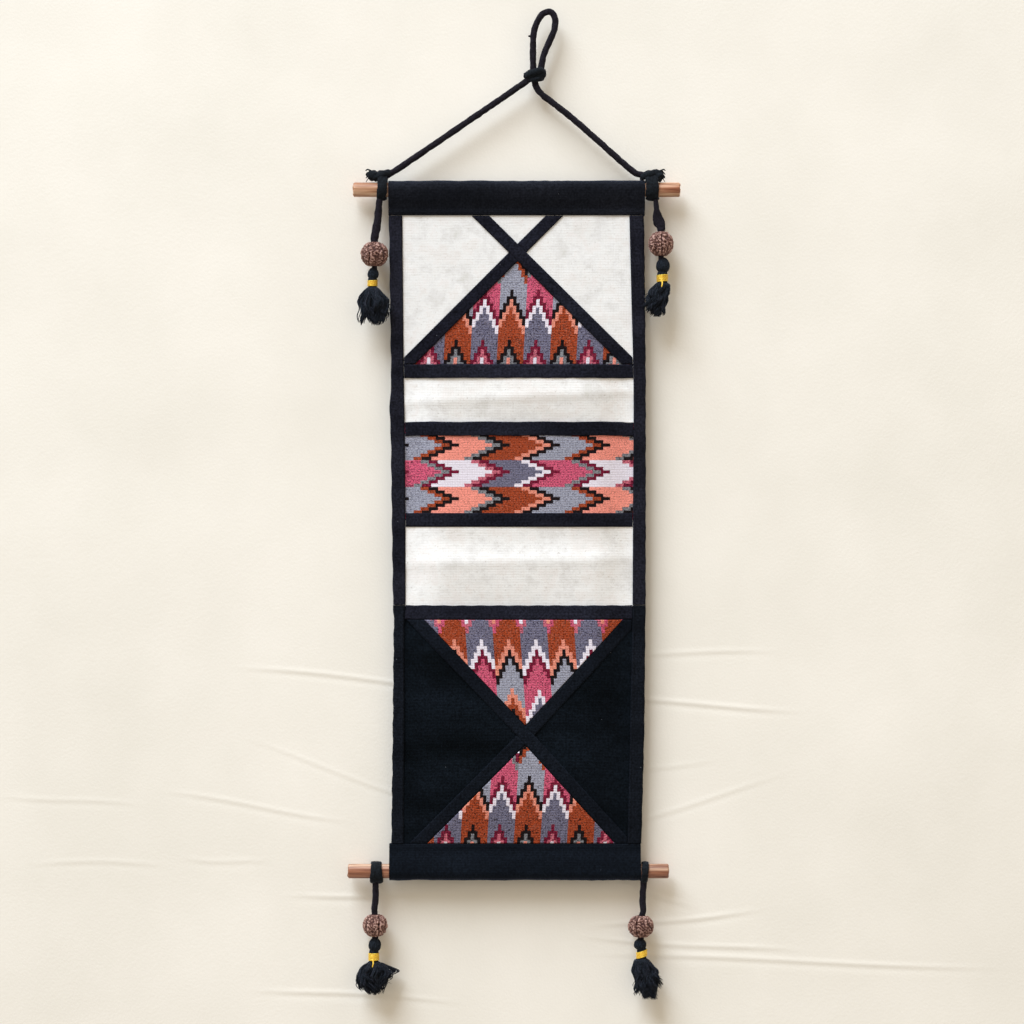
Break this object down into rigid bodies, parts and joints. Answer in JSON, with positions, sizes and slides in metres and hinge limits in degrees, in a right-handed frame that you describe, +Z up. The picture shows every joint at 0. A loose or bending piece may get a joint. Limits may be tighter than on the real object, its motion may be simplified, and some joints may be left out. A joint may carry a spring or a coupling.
{
  "type": "pocket wall hanging with two dowels",
  "caption": "Long black cloth wall hanging on dowels, with cream and flame-woven bands forming tiered pockets, a cord sling and beaded tassels.",
  "frame": {"origin": "inside top of the hanging loop, where a nail or hook carries the hanging", "axes": "+Z up, the front faces -Y, +X to the right seen from the front"},
  "size_m": [0.2661, 0.0241, 0.797],
  "materials": {
    "black_cloth": "plain-woven black cotton with a faint blue cast, matt",
    "cream_cloth": "undyed cream cotton, plain weave with slubs and flecks, matt",
    "flame_weave": "handwoven cotton with a traditional stepped flame pattern in rust, salmon, grey, crimson, pink and black",
    "dowel_wood": "bare light brown wood, sanded, with fine grain",
    "black_cord": "soft twisted black cotton cord, matt",
    "seed_bead": "dried brown seed, deeply wrinkled, dull with rubbed highlights",
    "gold_thread": "yellow gold thread wound close, slightly shiny",
    "black_yarn": "soft black cotton yarn, cut ends"
  },
  "bodies": {
    "root": {"back_panel": "black_cloth", "cream_header_left": "cream_cloth", "cream_header_top": "cream_cloth", "cream_header_right": "cream_cloth", "flame_header": "flame_weave", "header_tape_falling": "black_cloth", "header_tape_rising_upper": "black_cloth", "header_tape_rising_lower": "black_cloth", "cream_pocket_a": "cream_cloth", "mouth_tape_a": "black_cloth", "flame_band": "flame_weave", "cream_pocket_b": "cream_cloth", "mouth_tape_b": "black_cloth", "band_tape": "black_cloth", "black_pocket_c": "black_cloth", "mouth_tape_c": "black_cloth", "lower_tape_falling": "black_cloth", "lower_tape_rising_upper": "black_cloth", "lower_tape_rising_lower": "black_cloth", "flame_lower_top": "flame_weave", "flame_lower_bottom": "flame_weave", "side_binding_left_upper": "black_cloth", "side_binding_left_lower": "black_cloth", "side_binding_right_upper": "black_cloth", "side_binding_right_lower": "black_cloth", "casing_top": "black_cloth", "casing_bottom": "black_cloth", "dowel_top": "dowel_wood", "dowel_bottom": "dowel_wood", "sling_loop": "black_cord", "sling_leg_left": "black_cord", "sling_leg_right": "black_cord", "sling_knot": "black_cord", "hitch_left": "black_cord", "hitch_right": "black_cord", "wrap_bottom_left": "black_cord", "wrap_bottom_right": "black_cord", "tassel_cord_top_left": "black_cord", "tassel_cord_top_right": "black_cord", "tassel_cord_bottom_left": "black_cord", "tassel_cord_bottom_right": "black_cord", "bead_top_left": "seed_bead", "bead_top_right": "seed_bead", "bead_bottom_left": "seed_bead", "bead_bottom_right": "seed_bead", "tassel_top_left": "black_yarn", "tassel_top_right": "black_yarn", "tassel_bottom_left": "black_yarn", "tassel_bottom_right": "black_yarn", "tie_top_left": "gold_thread", "tie_top_right": "gold_thread", "tie_bottom_left": "gold_thread", "tie_bottom_right": "gold_thread"}
  },
  "joints": []
}
